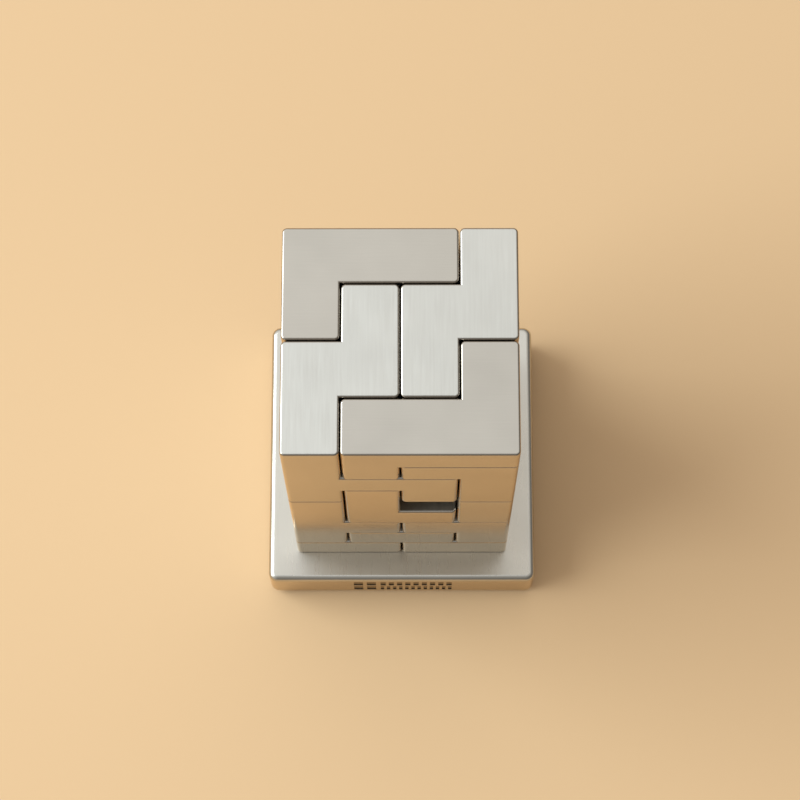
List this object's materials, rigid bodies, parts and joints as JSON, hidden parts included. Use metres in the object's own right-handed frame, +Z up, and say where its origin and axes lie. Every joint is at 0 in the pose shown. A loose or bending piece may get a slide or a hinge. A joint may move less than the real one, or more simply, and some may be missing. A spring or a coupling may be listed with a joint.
{
  "type": "metal block puzzle tower",
  "caption": "Take-apart metal tower of interlocking blocks, stacked cell by cell on a thick square base plate, with an empty cell open at the front.",
  "frame": {"origin": "centre of the base plate's footprint, on the surface that the feet stand on", "axes": "+Z up the tower, -Y towards the front, where the empty cell and the engraved mark are, +X to the right seen from the front"},
  "size_m": [0.061, 0.061, 0.0994],
  "materials": {
    "block_steel": "fine straight brush on the tops, smoother sides, polished rounded edges",
    "plate_steel": "satin, polished rounded edges",
    "foot_rubber": "matte"
  },
  "bodies": {
    "base": {"base_plate": "plate_steel", "foot_front_left": "foot_rubber", "foot_front_right": "foot_rubber", "foot_back_left": "foot_rubber", "foot_back_right": "foot_rubber"},
    "block_24_bottom_back": {"block_24_bottom_back": "block_steel"},
    "block_23_bottom_left": {"block_23_bottom_left": "block_steel"},
    "block_22_back_left_lower": {"block_22_back_left_lower": "block_steel"},
    "block_21_bottom_right": {"block_21_bottom_right": "block_steel"},
    "block_20_right_lower": {"block_20_right_lower": "block_steel"},
    "block_19_front_lower": {"block_19_front_lower": "block_steel"},
    "block_18_left_lower": {"block_18_left_lower": "block_steel"},
    "block_17_front_right_lower": {"block_17_front_right_lower": "block_steel"},
    "block_16_middle_cradle": {"block_16_middle_cradle": "block_steel"},
    "block_15_front_left_lower": {"block_15_front_left_lower": "block_steel"},
    "block_14_back_right": {"block_14_back_right": "block_steel"},
    "block_13_back_middle": {"block_13_back_middle": "block_steel"},
    "block_12_left_middle": {"block_12_left_middle": "block_steel"},
    "block_11_right_arch": {"block_11_right_arch": "block_steel"},
    "block_10_front_key": {"block_10_front_key": "block_steel"},
    "block_09_upper_back_left": {"block_09_upper_back_left": "block_steel"},
    "block_08_upper_right": {"block_08_upper_right": "block_steel"},
    "block_07_upper_left": {"block_07_upper_left": "block_steel"},
    "block_06_upper_back": {"block_06_upper_back": "block_steel"},
    "block_05_front_left_arch": {"block_05_front_left_arch": "block_steel"},
    "block_04_front_right_upper": {"block_04_front_right_upper": "block_steel"},
    "block_03_top_right": {"block_03_top_right": "block_steel"},
    "block_02_top_back_left": {"block_02_top_back_left": "block_steel"},
    "block_01_top_front": {"block_01_top_front": "block_steel"}
  },
  "joints": [
    {"name": "lift_24_bottom_back", "type": "slide", "parent": "base", "child": "block_24_bottom_back", "axis": [0, 0, 1], "range_m": [0, 0.0126]},
    {"name": "lift_23_bottom_left", "type": "slide", "parent": "block_24_bottom_back", "child": "block_23_bottom_left", "axis": [0, 0, 1], "range_m": [0, 0.0126]},
    {"name": "lift_22_back_left_lower", "type": "slide", "parent": "block_23_bottom_left", "child": "block_22_back_left_lower", "axis": [0, 0, 1], "range_m": [0, 0.0126]},
    {"name": "lift_21_bottom_right", "type": "slide", "parent": "block_22_back_left_lower", "child": "block_21_bottom_right", "axis": [0, 0, 1], "range_m": [0, 0.0222]},
    {"name": "lift_20_right_lower", "type": "slide", "parent": "block_21_bottom_right", "child": "block_20_right_lower", "axis": [0, 0, 1], "range_m": [0, 0.0222]},
    {"name": "lift_19_front_lower", "type": "slide", "parent": "block_20_right_lower", "child": "block_19_front_lower", "axis": [0, 0, 1], "range_m": [0, 0.0222]},
    {"name": "lift_18_left_lower", "type": "slide", "parent": "block_19_front_lower", "child": "block_18_left_lower", "axis": [0, 0, 1], "range_m": [0, 0.0222]},
    {"name": "lift_17_front_right_lower", "type": "slide", "parent": "block_18_left_lower", "child": "block_17_front_right_lower", "axis": [0, 0, 1], "range_m": [0, 0.0222]},
    {"name": "lift_16_middle_cradle", "type": "slide", "parent": "block_17_front_right_lower", "child": "block_16_middle_cradle", "axis": [0, 0, 1], "range_m": [0, 0.0222]},
    {"name": "lift_15_front_left_lower", "type": "slide", "parent": "block_16_middle_cradle", "child": "block_15_front_left_lower", "axis": [0, 0, 1], "range_m": [0, 0.0318]},
    {"name": "lift_14_back_right", "type": "slide", "parent": "block_15_front_left_lower", "child": "block_14_back_right", "axis": [0, 0, 1], "range_m": [0, 0.0414]},
    {"name": "lift_13_back_middle", "type": "slide", "parent": "block_14_back_right", "child": "block_13_back_middle", "axis": [0, 0, 1], "range_m": [0, 0.0318]},
    {"name": "lift_12_left_middle", "type": "slide", "parent": "block_13_back_middle", "child": "block_12_left_middle", "axis": [0, 0, 1], "range_m": [0, 0.0222]},
    {"name": "lift_11_right_arch", "type": "slide", "parent": "block_12_left_middle", "child": "block_11_right_arch", "axis": [0, 0, 1], "range_m": [0, 0.0318]},
    {"name": "lift_10_front_key", "type": "slide", "parent": "block_11_right_arch", "child": "block_10_front_key", "axis": [0, 0, 1], "range_m": [0, 0.0318]},
    {"name": "lift_09_upper_back_left", "type": "slide", "parent": "block_10_front_key", "child": "block_09_upper_back_left", "axis": [0, 0, 1], "range_m": [0, 0.0126]},
    {"name": "lift_08_upper_right", "type": "slide", "parent": "block_09_upper_back_left", "child": "block_08_upper_right", "axis": [0, 0, 1], "range_m": [0, 0.0222]},
    {"name": "lift_07_upper_left", "type": "slide", "parent": "block_08_upper_right", "child": "block_07_upper_left", "axis": [0, 0, 1], "range_m": [0, 0.0222]},
    {"name": "lift_06_upper_back", "type": "slide", "parent": "block_07_upper_left", "child": "block_06_upper_back", "axis": [0, 0, 1], "range_m": [0, 0.0318]},
    {"name": "lift_05_front_left_arch", "type": "slide", "parent": "block_06_upper_back", "child": "block_05_front_left_arch", "axis": [0, 0, 1], "range_m": [0, 0.0318]},
    {"name": "lift_04_front_right_upper", "type": "slide", "parent": "block_05_front_left_arch", "child": "block_04_front_right_upper", "axis": [0, 0, 1], "range_m": [0, 0.0414]},
    {"name": "lift_03_top_right", "type": "slide", "parent": "block_04_front_right_upper", "child": "block_03_top_right", "axis": [0, 0, 1], "range_m": [0, 0.0318]},
    {"name": "lift_02_top_back_left", "type": "slide", "parent": "block_03_top_right", "child": "block_02_top_back_left", "axis": [0, 0, 1], "range_m": [0, 0.0318]},
    {"name": "lift_01_top_front", "type": "slide", "parent": "block_02_top_back_left", "child": "block_01_top_front", "axis": [0, 0, 1], "range_m": [0, 0.0222]}
  ]
}
